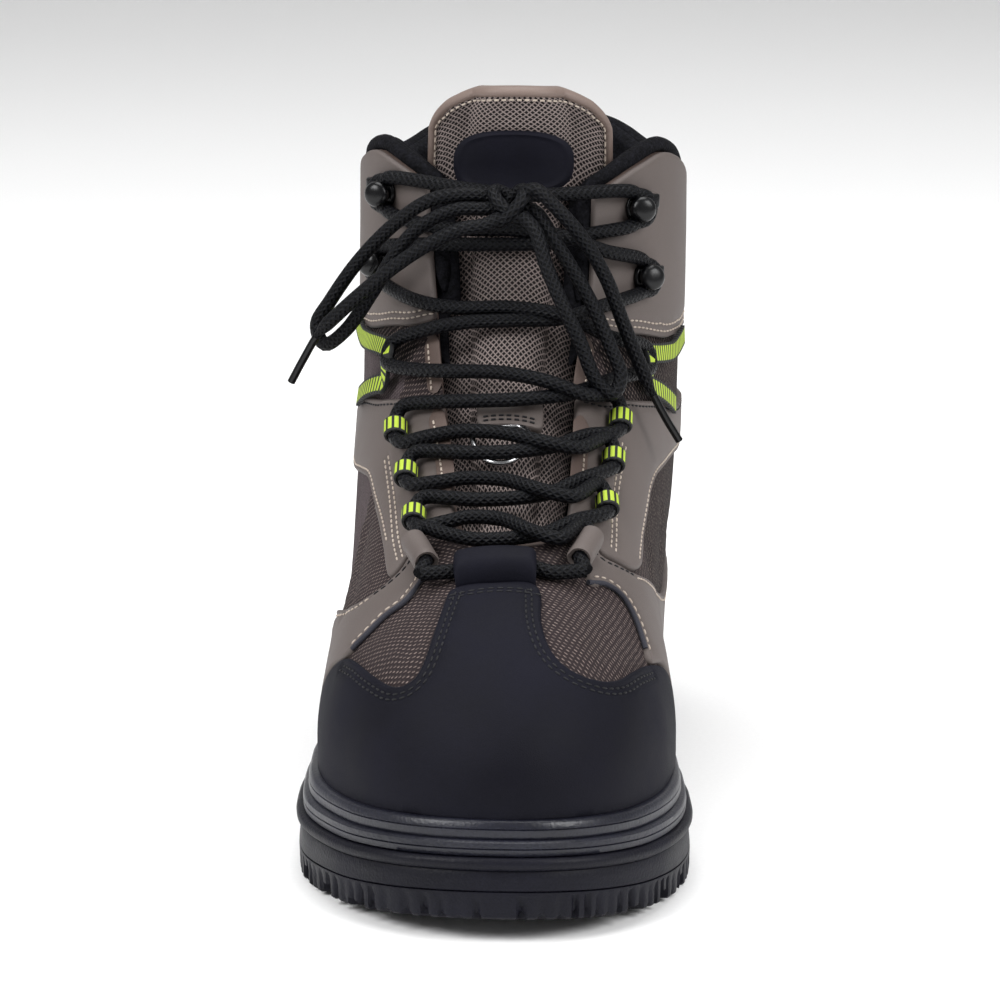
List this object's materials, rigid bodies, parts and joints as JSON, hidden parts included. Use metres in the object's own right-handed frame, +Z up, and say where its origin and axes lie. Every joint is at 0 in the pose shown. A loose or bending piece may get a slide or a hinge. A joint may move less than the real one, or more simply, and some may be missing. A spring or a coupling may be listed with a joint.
{
  "type": "wading boot",
  "caption": "Lace-up wading boot for the right foot, empty and upright, with a lugged rubber sole, rubber toe cap, mesh and synthetic leather upper, padded collar and tied bow.",
  "frame": {"origin": "on the ground under the middle of the heel, on the flat face of a heel lug", "axes": "+Z up, toe along -Y, +X towards the inner (medial) side"},
  "size_m": [0.1348, 0.3194, 0.2263],
  "materials": {
    "sole_rubber": "satin, fine moulded lines",
    "cap_rubber": "matte",
    "lining": "coarse black knit over foam",
    "mesh": "open mesh",
    "leather": "matte coated microfibre",
    "webbing": "woven stripes",
    "hook_nylon": "gloss",
    "steel": "polished wire",
    "lace": "round braid"
  },
  "bodies": {
    "root": {"outsole": "sole_rubber", "midsole": "sole_rubber", "rand": "sole_rubber", "insole": "lining", "upper": "mesh", "tongue": "mesh", "tongue_binding": "leather", "badge": "cap_rubber", "toe_cap": "cap_rubber", "foxing_medial": "leather", "foxing_lateral": "leather", "quarter_medial": "leather", "quarter_lateral": "leather", "collar_medial": "leather", "collar_lateral": "leather", "collar_pad": "lining", "webbing_upper_medial": "webbing", "webbing_lower_medial": "webbing", "webbing_upper_lateral": "webbing", "webbing_lower_lateral": "webbing", "ring_patch": "leather", "d_ring": "steel", "keeper": "cap_rubber", "horn_medial": "leather", "horn_lateral": "leather", "webbing_loop_1_medial": "webbing", "webbing_loop_1_lateral": "webbing", "webbing_loop_2_medial": "webbing", "webbing_loop_2_lateral": "webbing", "webbing_loop_3_medial": "webbing", "webbing_loop_3_lateral": "webbing", "hook_1_medial": "hook_nylon", "hook_1_lateral": "hook_nylon", "hook_2_medial": "hook_nylon", "hook_2_lateral": "hook_nylon", "lace_bar": "lace", "lace_crossing_1": "lace", "lace_crossing_2": "lace", "lace_crossing_3": "lace", "lace_crossing_4": "lace", "lace_crossing_5": "lace", "lace_crossing_6": "lace", "lace_top": "lace", "lace_knot": "lace", "bow_loop_lateral": "lace", "bow_loop_medial": "lace", "lace_end_lateral": "lace", "lace_end_medial": "lace"}
  },
  "joints": []
}
